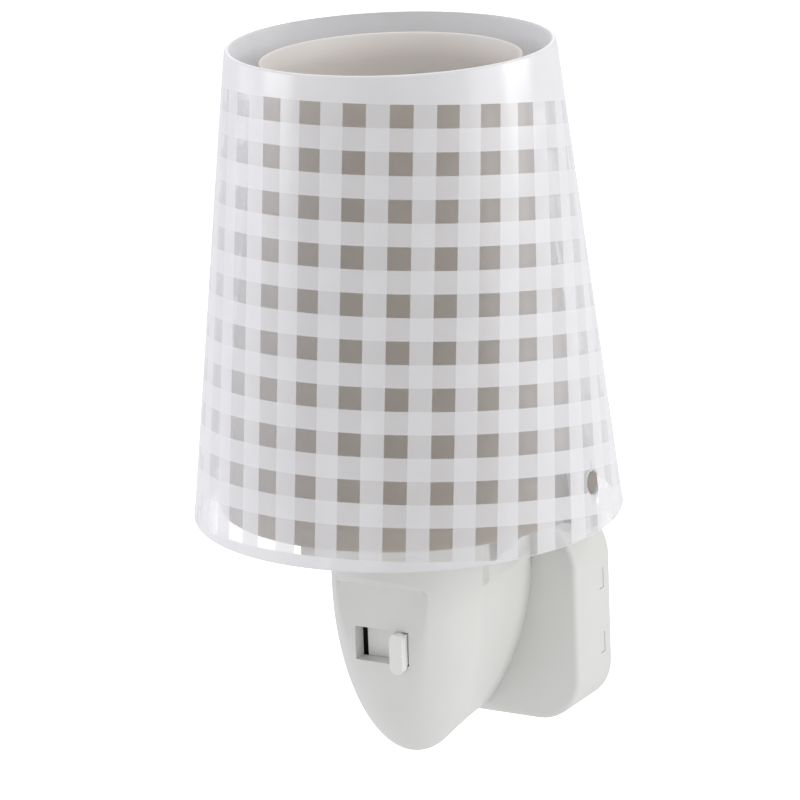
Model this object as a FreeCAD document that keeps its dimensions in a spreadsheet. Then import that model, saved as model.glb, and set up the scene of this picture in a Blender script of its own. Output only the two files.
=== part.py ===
import FreeCAD, Part
import math
import os
import re

import Sketcher

# Plug in night light with a slide switch, a screw-in bulb and a double shade.
# Frame: origin between the two plug pins on the face that meets the socket, +Y into the wall,
# +Z up, the lamp faces -Y. Lengths are millimetres. The shade, the lamp holder and the bulb
# share one upright axis, shade_axis in front of the origin.

doc = FreeCAD.newDocument("plug_in_night_light")
sheet = doc.addObject("Spreadsheet::Sheet", "Sizes")

sizes = {
    # overall arrangement
    "shade_axis": 45,
    "shade_base": 32,
    "running_gap": 0.1,
    "loose_gap": 0.3,
    # outer shade
    "shade_height": 94.7,
    "shade_bottom_radius": 43,
    "shade_top_radius": 32.5,
    "shade_wall": 1.2,
    "rim_round": 0.4,
    # inner liner
    "liner_rise": 2.4,
    "liner_sink": 3.1,
    "liner_bottom_gap": 4.2,
    "liner_top_gap": 5.2,
    "liner_wall": 0.8,
    # carrier that holds both cones
    "ring_width": 3,
    "ring_thick": 1.8,
    "spoke_width": 6,
    "hub_wall": 2,
    "hub_height": 9,
    "clip_width": 9,
    "clip_height": 14,
    "clip_thick": 1.6,
    "rib_height": 3,
    "rib_thick": 1.2,
    "nub_height": 9.8,
    "nub_radius": 2.1,
    "nub_sink": 0.5,
    # lamp body
    "pod_radius": 16.1,
    "pod_middle": 17,
    "pod_drop": 36.5,
    "pod_top": 30,
    "pod_wall": 1.8,
    "neck_half_width": 11.5,
    "neck_drop": 36.4,
    "neck_top": 20,
    "neck_keel_wall": 3.1,
    "facet_depth": 13,
    "facet_wall": 3.3,
    "lintel_height": 18.5,
    "lintel_draft": 0.6,
    "shelf_thick": 2,
    "shelf_slot_half": 4,
    "shelf_slot_front": 3,
    "shelf_slot_rear": 9.5,
    "window_width": 12.2,
    "window_base": 3,
    "window_height": 7,
    # plug housing
    "box_side": 43,
    "box_depth": 15,
    "box_corner": 10,
    "box_wall": 1.8,
    "box_front_wall": 2,
    "box_edge": 1,
    "cover_thick": 2,
    "pin_boss_radius": 4.2,
    "pin_boss_depth": 3.5,
    "snap_spacing": 14,
    "snap_height": 4.4,
    "snap_depth": 1.9,
    "snap_inset": 2.5,
    "snap_arm": 1.2,
    "cable_slot_width": 10,
    "cable_slot_base": -4,
    "cable_slot_height": 14,
    # plug pins
    "pin_spacing": 19,
    "pin_length": 19,
    "pin_radius": 2,
    "pin_core_radius": 1.4,
    "pin_tip": 1.2,
    "sleeve_length": 10,
    "sleeve_radius": 1.8,
    "sleeve_seat": 2,
    "pin_collar": 1.2,
    "pin_collar_radius": 2.5,
    "pin_tail": 2,
    "moulded_gap": 0.02,
    # body screws
    "boss_radius": 2.8,
    "boss_length": 9,
    "boss_side": 7.2,
    "boss_height": 15.6,
    "screw_radius": 1.1,
    "screw_head_radius": 2.2,
    "screw_head": 1.5,
    "screw_length": 8,
    # lamp holder
    "holder_radius": 13.9,
    "holder_height": 21,
    "holder_skirt": 2,
    "holder_deck": 2,
    "holder_bore": 8.2,
    "holder_tube": 1.6,
    "holder_floor": 3,
    "holder_screw_side": 5.2,
    "holder_screw_radius": 0.9,
    "holder_screw_head_radius": 1.7,
    "holder_screw_head": 1.1,
    "holder_screw_length": 5.5,
    # screw shell and centre contact of the holder
    "thread_pitch": 2.822,
    "thread_depth": 0.55,
    "shell_thick": 0.3,
    "shell_length": 15.5,
    "leaf_thick": 0.5,
    "leaf_width": 4,
    "leaf_rise": 0.3,
    "leaf_reach": 3,
    "tag_width": 2.4,
    "tag_drop": 4.5,
    "shell_tag_seat": 7.35,
    # bulb
    "cap_radius": 6.85,
    "cap_length": 15,
    "cap_thick": 0.25,
    "cap_insulator": 2,
    "tip_radius": 2.4,
    "tip_height": 1.2,
    "tip_gap": 0.05,
    "bulb_radius": 11,
    "bulb_neck_height": 10,
    "bulb_neck_wall": 1.4,
    "globe_height": 32,
    "globe_wall": 1,
    "board_thick": 1.2,
    "led_side": 2.8,
    "led_thick": 0.8,
    "led_circle": 5.2,
    # slide switch
    "switch_travel": 3.6,
    "slider_left": -5.1,
    "slider_length": 13.8,
    "slider_thick": 1.3,
    "slider_overlap": 0.5,
    "slider_gap": 0.2,
    "knob_left": 2.9,
    "knob_width": 2.9,
    "knob_proud": 2.1,
    "knob_above": 0.1,
    "knob_below": 1.3,
    "stem_width": 3,
    "stem_height": 4,
    "stem_length": 3,
    "case_half_width": 9.3,
    "case_wall": 1.2,
    "case_depth": 9,
    "case_margin": 1.6,
    "ear_height": 5,
    "ear_half_width": 2.6,
    "ear_thick": 1.2,
    "ear_screw_reach": 3,
    "switch_screw_radius": 0.8,
    "switch_screw_head_radius": 1.5,
    "switch_screw_head": 0.9,
    "switch_screw_length": 3.6,
    "contact_thick": 0.5,
    "contact_width": 3.2,
    "contact_height": 5,
    "contact_side": 3,
    "contact_tail": 3,
    "bridge_thick": 0.4,
    "bridge_length": 9,
    "bridge_height": 3,
    # wires
    "wire_radius": 0.95,
}

for row, (name, size) in enumerate(sizes.items(), 1):
    sheet.set("A%d" % row, name)
    sheet.set("B%d" % row, str(size))
    sheet.setAlias("B%d" % row, name)
doc.recompute()

nodes = []


def tie(text):
    # points each size's name in an expression at its cell
    return re.sub(r"[a-z_]+", lambda word: "Sizes." + word[0] if word[0] in sizes else word[0], text)


def value(text):
    return float(sheet.evalExpression(tie(text)))


def place(piece, x="0", y="0", z="0"):
    for axis, text in zip("xyz", (x, y, z)):
        piece.setExpression("Placement.Base." + axis, tie(text))


def node(piece, name):
    piece.Label = name
    nodes.append(piece)
    return piece


def new_body(name, x="0", y="0", z="0"):
    piece = doc.addObject("PartDesign::Body", name)
    place(piece, x, y, z)
    return piece


def new_sketch(piece, name, role, lift="0"):
    sketch = piece.newObject("Sketcher::SketchObject", name)
    plane = [item for item in piece.Origin.OriginFeatures if item.Role == role][0]
    sketch.AttachmentSupport = [(plane, "")]
    sketch.MapMode = "FlatFace"
    if lift != "0":
        sketch.setExpression("AttachmentOffset.Base.z", tie(lift))
    return sketch


def pin_point(sketch, geometry, end, x, y):
    # holds one point of the sketch at two expressions
    for kind, text in (("DistanceX", x), ("DistanceY", y)):
        index = sketch.addConstraint(Sketcher.Constraint(kind, -1, 1, geometry, end, value(text)))
        sketch.setExpression("Constraints[%d]" % index, tie(text))


def polygon(piece, name, role, points, lift="0"):
    sketch = new_sketch(piece, name, role, lift)
    places = [FreeCAD.Vector(value(x), value(y), 0) for x, y in points]
    count = len(places)
    for i in range(count):
        sketch.addGeometry(Part.LineSegment(places[i], places[(i + 1) % count]), False)
    for i in range(count):
        sketch.addConstraint(Sketcher.Constraint("Coincident", i, 2, (i + 1) % count, 1))
    for i, (x, y) in enumerate(points):
        pin_point(sketch, i, 1, x, y)
    return sketch


def circles(piece, name, role, places, radius, lift="0"):
    sketch = new_sketch(piece, name, role, lift)
    for i, (x, y) in enumerate(places):
        centre = FreeCAD.Vector(value(x), value(y), 0)
        sketch.addGeometry(Part.Circle(centre, FreeCAD.Vector(0, 0, 1), value(radius)), False)
        pin_point(sketch, i, 3, x, y)
        index = sketch.addConstraint(Sketcher.Constraint("Radius", i, value(radius)))
        sketch.setExpression("Constraints[%d]" % index, tie(radius))
    return sketch


def rounded_square(piece, name, role, half, radius, lift="0"):
    sketch = new_sketch(piece, name, role, lift)
    reach = value("%s - (%s)" % (half, radius))
    size = value(radius)
    signs = ((1, 1), (-1, 1), (-1, -1), (1, -1))
    for i, (side, rise) in enumerate(signs):
        centre = FreeCAD.Vector(side * reach, rise * reach, 0)
        circle = Part.Circle(centre, FreeCAD.Vector(0, 0, 1), size)
        start = i * math.pi / 2
        sketch.addGeometry(Part.ArcOfCircle(circle, start, start + math.pi / 2), False)
    for i in range(4):
        ends = [sketch.getPoint(i, 2), sketch.getPoint((i + 1) % 4, 1)]
        sketch.addGeometry(Part.LineSegment(ends[0], ends[1]), False)
    starts = ((1, 0), (0, 1), (-1, 0), (0, -1))
    for i, (side, rise) in enumerate(signs):
        centre_x = "%d * (%s - (%s))" % (side, half, radius)
        centre_y = "%d * (%s - (%s))" % (rise, half, radius)
        pin_point(sketch, i, 3, centre_x, centre_y)
        pin_point(sketch, i, 1, "%s + %d * (%s)" % (centre_x, starts[i][0], radius),
                  "%s + %d * (%s)" % (centre_y, starts[i][1], radius))
        level = "Vertical" if i % 2 == 0 else "Horizontal"
        sketch.addConstraint(Sketcher.Constraint(level, i, 3, i, 2))
        sketch.addConstraint(Sketcher.Constraint("Coincident", i, 2, 4 + i, 1))
        sketch.addConstraint(Sketcher.Constraint("Coincident", 4 + i, 2, (i + 1) % 4, 1))
    return sketch


def revolve(piece, sketch, name):
    feature = piece.newObject("PartDesign::Revolution", name)
    feature.Profile = sketch
    feature.ReferenceAxis = (sketch, ["V_Axis"])
    feature.Angle = 360
    return feature


def pad(piece, sketch, name, length, reverse=False, middle=False):
    feature = piece.newObject("PartDesign::Pad", name)
    feature.Profile = sketch
    feature.setExpression("Length", tie(length))
    feature.Reversed = reverse
    feature.Midplane = middle
    return feature


def pocket(piece, sketch, name, length, reverse=False, middle=False):
    doc.recompute()
    before = piece.Shape.Volume
    feature = piece.newObject("PartDesign::Pocket", name)
    feature.Profile = sketch
    feature.setExpression("Length", tie(length))
    feature.Reversed = reverse
    feature.Midplane = middle
    doc.recompute()
    if piece.Shape.Volume > before - 1e-6:
        raise ValueError(name + " cuts nothing")
    return feature


def turned(name, points, x="0", y="-shade_axis", z="0"):
    # a piece turned about the upright axis from its half section
    piece = new_body(name, x, y, z)
    revolve(piece, polygon(piece, name + "_section", "XZ_Plane", points), name + "_turn")
    return piece


def turned_along_y(name, points, x="0", y="0", z="0"):
    # a piece turned about an axis that points at the wall, from (radius, distance) points
    piece = new_body(name, x, y, z)
    revolve(piece, polygon(piece, name + "_section", "XY_Plane", points), name + "_turn")
    return piece


def box(name, x, y, z):
    # each of x, y, z is a pair of expressions, low and high
    piece = doc.addObject("Part::Box", name)
    for side, (low, high) in zip(("Length", "Width", "Height"), (x, y, z)):
        piece.setExpression(side, tie("(%s) - (%s)" % (high, low)))
    place(piece, x[0], y[0], z[0])
    return piece


def cylinder(name, radius, length, x="0", y="0", z="0", along="z"):
    # along is the way that the cylinder grows from its base point
    turns = {"z": (0, 0, 1, 0), "y": (1, 0, 0, -90), "x": (0, 1, 0, 90), "-x": (0, 1, 0, -90)}
    piece = doc.addObject("Part::Cylinder", name)
    piece.setExpression("Radius", tie(radius))
    piece.setExpression("Height", tie(length))
    ax, ay, az, angle = turns[along]
    piece.Placement.Rotation = FreeCAD.Rotation(FreeCAD.Vector(ax, ay, az), angle)
    place(piece, x, y, z)
    return piece


def fuse(name, pieces):
    whole = doc.addObject("Part::MultiFuse", name)
    whole.Shapes = pieces
    whole.Refine = True
    return whole


def cut(name, base, tool):
    rest = doc.addObject("Part::Cut", name)
    rest.Base = base
    rest.Tool = tool
    rest.Refine = True
    return rest


def common(name, pieces):
    shared = doc.addObject("Part::MultiCommon", name)
    shared.Shapes = pieces
    return shared


def group(name, pieces):
    whole = doc.addObject("Part::Compound", name)
    whole.Links = pieces
    return whole


def coded(name, shape):
    piece = doc.addObject("Part::Feature", name)
    piece.Shape = shape
    piece.Placement = FreeCAD.Placement()
    return piece


# places that several pieces share
front_of_box = "-box_depth"
inside_of_front = "-box_depth + box_front_wall"
facet_plane = "-shade_axis - facet_depth"
facet_back = "-shade_axis - facet_depth + facet_wall"
shelf_top = "lintel_height + shelf_thick"
well_floor = "lintel_height + shelf_thick + holder_floor"
leaf_top = "lintel_height + shelf_thick + holder_floor + leaf_rise + leaf_thick"
liner_base = "shade_base + liner_rise"
liner_bottom = "(shade_bottom_radius - shade_wall - liner_bottom_gap)"
liner_top = "(shade_top_radius - shade_wall - liner_top_gap)"
liner_height = "(shade_height - liner_rise - liner_sink)"
liner_slope = "(%s - %s) / %s" % (liner_bottom, liner_top, liner_height)
window_top = "window_base + window_height"
window_middle = "window_base + window_height / 2"
pin_end = "-pin_boss_depth - pin_collar - pin_tail"


# Outer shade: a cone with eased rims and a hole at each side for the clips.
shade_slope = "(shade_bottom_radius - shade_top_radius) / shade_height"
nub_shade_radius = "(shade_bottom_radius - %s * nub_height)" % shade_slope


def make_outer_shade():
    cone = turned("outer_shade_cone", [
        ("shade_bottom_radius - shade_wall", "0"),
        ("shade_bottom_radius - rim_round", "0"),
        ("shade_bottom_radius - %s * rim_round" % shade_slope, "rim_round"),
        ("shade_top_radius + %s * rim_round" % shade_slope, "shade_height - rim_round"),
        ("shade_top_radius - rim_round", "shade_height"),
        ("shade_top_radius - shade_wall", "shade_height"),
    ], z="shade_base")
    holes = [cylinder("outer_shade_hole_" + side, "nub_radius + loose_gap", "2 * clip_thick + 4 * shade_wall",
                      sign + nub_shade_radius + along_x, "-shade_axis", "shade_base + nub_height", way)
             for side, sign, along_x, way in (("right", "", " - clip_thick - 2 * shade_wall", "x"),
                                              ("left", "-", " + clip_thick + 2 * shade_wall", "-x"))]
    node(cut("outer_shade", cone, fuse("outer_shade_holes", holes)), "outer_shade")


def make_liner():
    node(turned("shade_liner", [
        (liner_bottom + " - liner_wall", "0"),
        (liner_bottom, "0"),
        (liner_top, liner_height),
        (liner_top + " - liner_wall", liner_height),
    ], z=liner_base), "shade_liner")


# Carrier: hub, four spokes under the liner, a ring inside it, and two clips that reach the outer shade.
def make_carrier():
    ring_middle = liner_bottom + " - liner_wall / 2"
    ring_outer = liner_bottom + " - liner_wall - loose_gap - ring_thick * " + liner_slope
    ring = turned("carrier_ring", [
        (ring_outer + " - ring_width", "0"),
        (ring_outer, "0"),
        (ring_outer, "ring_thick"),
        (ring_outer + " - ring_width", "ring_thick"),
    ], z=liner_base)
    hub = turned("carrier_hub", [
        ("holder_radius + running_gap", "0"),
        ("holder_radius + running_gap + hub_wall", "0"),
        ("holder_radius + running_gap + hub_wall", "hub_height"),
        ("holder_radius + running_gap", "hub_height"),
    ], z="pod_top")
    inner = "holder_radius + running_gap + hub_wall / 2"
    parts = [ring, hub]
    level = (liner_base + " - ring_thick", liner_base)
    half = ("spoke_width / 2", "-spoke_width / 2")
    parts.append(box("spoke_right", (inner, ring_middle), ("-shade_axis - spoke_width / 2",
                 "-shade_axis + spoke_width / 2"), level))
    parts.append(box("spoke_left", ("-(%s)" % ring_middle, "-(%s)" % inner), ("-shade_axis - spoke_width / 2",
                 "-shade_axis + spoke_width / 2"), level))
    parts.append(box("spoke_front", (half[1], half[0]), ("-shade_axis - (%s)" % ring_middle,
                 "-shade_axis - (%s)" % inner), level))
    parts.append(box("spoke_rear", (half[1], half[0]), ("-shade_axis + " + inner,
                 "-shade_axis + " + ring_middle), level))
    wall_inside = turned("clip_outer_limit", [
        ("0", "0"),
        ("shade_bottom_radius - shade_wall - running_gap", "0"),
        ("shade_bottom_radius - shade_wall - running_gap - %s * shade_height" % shade_slope, "shade_height"),
        ("0", "shade_height"),
    ], z="shade_base")
    wall_core = turned("clip_inner_limit", [
        ("0", "0"),
        ("shade_bottom_radius - shade_wall - running_gap - clip_thick", "0"),
        ("shade_bottom_radius - shade_wall - running_gap - clip_thick - %s * shade_height" % shade_slope,
         "shade_height"),
        ("0", "shade_height"),
    ], z="shade_base")
    slab = box("clip_slab", ("-shade_bottom_radius", "shade_bottom_radius"),
               ("-shade_axis - clip_width / 2", "-shade_axis + clip_width / 2"),
               (liner_base + " - ring_thick", "shade_base + clip_height"))
    clips = common("clip_plates", [cut("clip_skin", wall_inside, wall_core), slab])
    bridge_slab = box("clip_foot_slab", ("-shade_bottom_radius", "shade_bottom_radius"),
                      ("-shade_axis - clip_width / 2", "-shade_axis + clip_width / 2"), level)
    foot_core = turned("clip_foot_core", [
        ("0", "-1"),
        (ring_middle, "-1"),
        (ring_middle, "ring_thick + 1"),
        ("0", "ring_thick + 1"),
    ], z=liner_base + " - ring_thick")
    feet = cut("clip_feet", common("clip_feet_reach", [wall_inside, bridge_slab]), foot_core)
    parts += [clips, feet]
    for side, sign in (("right", ""), ("left", "-")):
        base = nub_shade_radius + " - shade_wall - clip_thick / 2"
        way = "x" if side == "right" else "-x"
        parts.append(cylinder("clip_nub_" + side, "nub_radius", "clip_thick / 2 + shade_wall - nub_sink",
                              "%s(%s)" % (sign, base), "-shade_axis", "shade_base + nub_height", way))
    rib_outer = liner_bottom + " - liner_wall - loose_gap"
    rib_lean = "rib_height * " + liner_slope
    rib_ring = turned("rib_ring", [
        (rib_outer + " - rib_thick", "-ring_thick / 2"),
        (rib_outer, "-ring_thick / 2"),
        (rib_outer + " - " + rib_lean, "rib_height"),
        (rib_outer + " - rib_thick - " + rib_lean, "rib_height"),
    ], z=liner_base)
    rib_cross = fuse("rib_cross", [
        box("rib_cross_x", ("-shade_bottom_radius", "shade_bottom_radius"),
            ("-shade_axis - spoke_width / 2", "-shade_axis + spoke_width / 2"),
            (liner_base + " - ring_thick", liner_base + " + rib_height")),
        box("rib_cross_y", ("-spoke_width / 2", "spoke_width / 2"),
            ("-shade_axis - shade_bottom_radius", "-shade_axis + shade_bottom_radius"),
            (liner_base + " - ring_thick", liner_base + " + rib_height"))])
    parts.append(common("liner_ribs", [rib_ring, rib_cross]))
    node(fuse("shade_carrier", parts), "shade_carrier")


# Lamp body: a deep half ellipsoid in front, drawn back to a narrow keeled neck at the box.
# A flat facet under a lintel holds the switch. It is hollow, open at the top and at the rear.
def side_curve(half_width, drop, shape, y, mirror):
    # one side of an upright section, from the widest level down to the keel
    steps = 8
    points = []
    for i in range(steps + 1):
        depth = math.sin(math.pi / 2 * i / steps)
        width = half_width * shape(depth)
        points.append(FreeCAD.Vector(mirror * width, y, value("pod_middle") - drop * depth))
    curve = Part.BSplineCurve()
    curve.interpolate(Points=points, Parameters=[i / steps for i in range(steps + 1)])
    return curve.toShape()


def round_section(depth):
    return math.sqrt(max(0.0, 1 - depth ** 2))


def keeled_section(depth):
    return 1 - depth ** 2.2


def section_wire(half_width, drop, shape, y, top):
    middle = value("pod_middle")
    corners = [FreeCAD.Vector(side * half_width, y, level) for side, level in
               ((-1, middle), (-1, top), (1, top), (1, middle))]
    edges = [Part.makeLine(corners[i], corners[i + 1]) for i in range(3)]
    edges.append(side_curve(half_width, drop, shape, y, 1))
    edges.append(side_curve(half_width, drop, shape, y, -1))
    return Part.Wire(Part.__sortEdges__(edges))


def pod_solid(wall, keel_wall, neck_top, rear):
    # the lamp body's outline moved in by wall all round
    axis = -value("shade_axis")
    radius = value("pod_radius") - wall
    drop = value("pod_drop") - wall
    middle = value("pod_middle")
    side = side_curve(radius, drop, round_section, axis, 1)
    bottom = FreeCAD.Vector(0, axis, middle - drop)
    centre = FreeCAD.Vector(0, axis, middle)
    edge = FreeCAD.Vector(radius, axis, middle)
    half = Part.Face(Part.Wire(Part.__sortEdges__([side, Part.makeLine(bottom, centre), Part.makeLine(centre, edge)])))
    front = half.revolve(centre, FreeCAD.Vector(0, 0, 1), -180)
    neck = Part.makeLoft([
        section_wire(radius, drop, round_section, axis, neck_top),
        section_wire(value("neck_half_width") - wall, value("neck_drop") - keel_wall, keeled_section, rear, neck_top),
    ], True, True)
    return front.fuse(neck)


def make_lamp_body():
    axis = -value("shade_axis")
    rear = value(front_of_box)
    radius = value("pod_radius")
    wall = value("pod_wall")
    middle = value("pod_middle")
    top = value("pod_top")
    lintel = value("lintel_height")
    shelf = value(shelf_top)
    up = FreeCAD.Vector(0, 0, 1)
    outer = pod_solid(0, 0, value("neck_top"), rear)
    outer = outer.fuse(Part.makeCylinder(radius, top - middle, FreeCAD.Vector(0, axis, middle), up))
    reach = 2 * radius
    facet = value(facet_plane)
    # the underside of the lintel rises towards the front
    corners = [(facet, lintel), (facet - reach, lintel + value("lintel_draft") * reach),
               (facet - reach, -2 * reach), (facet, -2 * reach), (facet, lintel)]
    outline = Part.makePolygon([FreeCAD.Vector(-reach, y, z) for y, z in corners])
    recess = Part.Face(outline).extrude(FreeCAD.Vector(2 * reach, 0, 0))
    outer = outer.cut(recess)
    hollow = pod_solid(wall, value("neck_keel_wall"), value("neck_top - pod_wall"), rear)
    back = Part.makeBox(2 * reach, 4 * reach, lintel + reach * 2,
                        FreeCAD.Vector(-reach, value(facet_back), -reach * 2))
    hollow = hollow.common(back)
    well = Part.makeCylinder(radius - wall, top - shelf + wall, FreeCAD.Vector(0, axis, shelf), up)
    slot = Part.makeBox(value("2 * shelf_slot_half"), value("shelf_slot_front + shelf_slot_rear"),
                        shelf - lintel + 2 * wall,
                        FreeCAD.Vector(-value("shelf_slot_half"), axis - value("shelf_slot_front"), lintel - wall))
    window = Part.makeBox(value("window_width"), value("2 * facet_wall"), value("window_height"),
                          FreeCAD.Vector(-value("window_width / 2"), value(facet_plane) - wall,
                                         value("window_base")))
    shell = outer.cut(hollow).cut(well).cut(slot).cut(window)
    along = FreeCAD.Vector(0, -1, 0)
    for x, z in boss_places():
        foot = FreeCAD.Vector(value(x), rear, value(z))
        shell = shell.fuse(Part.makeCylinder(value("boss_radius"), value("boss_length"), foot, along))
    for x, z in boss_places():
        foot = FreeCAD.Vector(value(x), rear, value(z))
        shell = shell.cut(Part.makeCylinder(value("screw_radius + moulded_gap"), value("screw_length"), foot, along))
    for x, level in holder_screw_places():
        foot = FreeCAD.Vector(value(x), axis, lintel - wall)
        shell = shell.cut(Part.makeCylinder(value("holder_screw_radius + moulded_gap"), value("shelf_thick") + 2 * wall,
                                            foot, up))
    for x, z in switch_screw_places():
        foot = FreeCAD.Vector(value(x), value(facet_back), value(z))
        depth = value("switch_screw_length - ear_thick")
        shell = shell.cut(Part.makeCylinder(value("switch_screw_radius + moulded_gap"), depth, foot, along))
    node(coded("lamp_body", shell), "lamp_body")


def boss_places():
    return [("-boss_side", "boss_height"), ("boss_side", "boss_height")]


def holder_screw_places():
    return [("-holder_screw_side", well_floor), ("holder_screw_side", well_floor)]


def switch_screw_places():
    case_top = window_top + " + case_margin"
    case_base = "window_base - case_margin"
    return [("0", case_top + " + ear_screw_reach"), ("0", case_base + " - ear_screw_reach")]


# Plug housing: a box open at the rear, closed by a cover that carries the two plug pins.
def make_housing_front():
    piece = new_body("housing_front")
    outline = rounded_square(piece, "housing_outline", "XZ_Plane", "box_side / 2", "box_corner")
    block = pad(piece, outline, "housing_block", "box_depth")
    doc.recompute()
    front = value("-box_depth")
    rim = ["Edge%d" % (i + 1) for i, edge in enumerate(block.Shape.Edges)
           if abs(edge.BoundBox.YMin - front) < 1e-4 and abs(edge.BoundBox.YMax - front) < 1e-4]
    softened = piece.newObject("PartDesign::Fillet", "housing_edge")
    softened.Base = (block, rim)
    softened.setExpression("Radius", tie("box_edge"))
    inside = rounded_square(piece, "housing_inside", "XZ_Plane", "box_side / 2 - box_wall",
                            "box_corner - box_wall")
    pocket(piece, inside, "housing_hollow", "box_depth - box_front_wall", reverse=True)
    slot = polygon(piece, "cable_slot_outline", "XZ_Plane", [
        ("-cable_slot_width / 2", "cable_slot_base"),
        ("cable_slot_width / 2", "cable_slot_base"),
        ("cable_slot_width / 2", "cable_slot_base + cable_slot_height"),
        ("-cable_slot_width / 2", "cable_slot_base + cable_slot_height"),
    ])
    pocket(piece, slot, "cable_slot", "box_depth + 1", reverse=True)
    screw_holes = circles(piece, "housing_screw_holes", "XZ_Plane", boss_places(), "screw_radius + running_gap")
    pocket(piece, screw_holes, "housing_screw_cut", "box_depth + 1", reverse=True)
    windows = new_sketch(piece, "snap_window_outline", "YZ_Plane")
    low = "-snap_inset - snap_depth"
    count = 0
    for sign in ("-", ""):
        middle = sign + "snap_spacing / 2"
        corners = [(low, middle + " - snap_height / 2"), ("-snap_inset", middle + " - snap_height / 2"),
                   ("-snap_inset", middle + " + snap_height / 2"), (low, middle + " + snap_height / 2")]
        places = [FreeCAD.Vector(value(u), value(v), 0) for u, v in corners]
        for i in range(4):
            windows.addGeometry(Part.LineSegment(places[i], places[(i + 1) % 4]), False)
        for i in range(4):
            windows.addConstraint(Sketcher.Constraint("Coincident", count + i, 2, count + (i + 1) % 4, 1))
            pin_point(windows, count + i, 1, corners[i][0], corners[i][1])
        count += 4
    pocket(piece, windows, "snap_windows", "box_side + 2", middle=True)
    node(piece, "housing_front")


def pin_places():
    return [("-pin_spacing / 2", "0"), ("pin_spacing / 2", "0")]


def make_housing_rear():
    piece = new_body("housing_cover")
    plate = rounded_square(piece, "cover_outline", "XZ_Plane", "box_side / 2 - box_wall - running_gap",
                           "box_corner - box_wall - running_gap")
    pad(piece, plate, "cover_plate", "cover_thick")
    bosses = circles(piece, "pin_boss_places", "XZ_Plane", pin_places(), "pin_boss_radius")
    pad(piece, bosses, "pin_bosses", "pin_boss_depth")
    holes = circles(piece, "pin_hole_places", "XZ_Plane", pin_places(), "pin_core_radius + moulded_gap")
    pocket(piece, holes, "pin_holes", "pin_boss_depth + 1", reverse=True)
    seats = circles(piece, "sleeve_seat_places", "XZ_Plane", pin_places(), "sleeve_radius + moulded_gap")
    pocket(piece, seats, "sleeve_seats", "sleeve_seat", reverse=True)
    wall_inside = "box_side / 2 - box_wall - running_gap"
    parts = [piece]
    for side in ("", "-"):
        for row in ("", "-"):
            name = "snap_%s_%s" % ("right" if side == "" else "left", "high" if row == "" else "low")
            middle = row + "snap_spacing / 2"
            level = (middle + " - snap_height / 2 + running_gap", middle + " + snap_height / 2 - running_gap")
            arm_x = (wall_inside + " - snap_arm", wall_inside)
            hook_x = (wall_inside + " - snap_arm / 2", "box_side / 2 - running_gap")
            if side == "-":
                arm_x = ("-(%s)" % arm_x[1], "-(%s)" % arm_x[0])
                hook_x = ("-(%s)" % hook_x[1], "-(%s)" % hook_x[0])
            tip = "-snap_inset - snap_depth + running_gap"
            parts.append(box(name + "_arm", arm_x, (tip, "-cover_thick / 2"), level))
            parts.append(box(name + "_hook", hook_x, (tip, "-snap_inset - running_gap"), level))
    node(fuse("housing_rear", parts), "housing_rear")


def make_pins():
    collar = "-pin_boss_depth - moulded_gap"
    for side, (x, z) in zip(("left", "right"), pin_places()):
        node(turned_along_y("pin_" + side, [
            ("0", pin_end),
            ("pin_core_radius", pin_end),
            ("pin_core_radius", collar + " - pin_collar"),
            ("pin_collar_radius", collar + " - pin_collar"),
            ("pin_collar_radius", collar),
            ("pin_core_radius", collar),
            ("pin_core_radius", "sleeve_length"),
            ("pin_radius", "sleeve_length"),
            ("pin_radius", "pin_length - pin_tip"),
            ("pin_radius * 0.8", "pin_length - pin_tip * 0.4"),
            ("pin_radius * 0.4", "pin_length"),
            ("0", "pin_length"),
        ], x=x, z=z), "pin_" + side)
        node(turned_along_y("pin_sleeve_" + side, [
            ("pin_core_radius + moulded_gap", "-sleeve_seat + moulded_gap"),
            ("sleeve_radius", "-sleeve_seat + moulded_gap"),
            ("sleeve_radius", "sleeve_length - moulded_gap"),
            ("pin_core_radius + moulded_gap", "sleeve_length - moulded_gap"),
        ], x=x, z=z), "pin_sleeve_" + side)


def make_body_screws():
    screws = []
    for i, (x, z) in enumerate(boss_places()):
        screws.append(turned_along_y("body_screw_%d" % (i + 1), [
            ("0", "-screw_length + box_front_wall"),
            ("screw_radius * 0.4", "-screw_length + box_front_wall"),
            ("screw_radius", "-screw_length + box_front_wall + screw_radius"),
            ("screw_radius", "moulded_gap"),
            ("screw_head_radius", "moulded_gap"),
            ("screw_head_radius", "screw_head * 0.6"),
            ("screw_head_radius * 0.6", "screw_head"),
            ("0", "screw_head"),
        ], x=x, y=inside_of_front, z=z))
    node(group("body_screws", screws), "body_screws")


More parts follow.
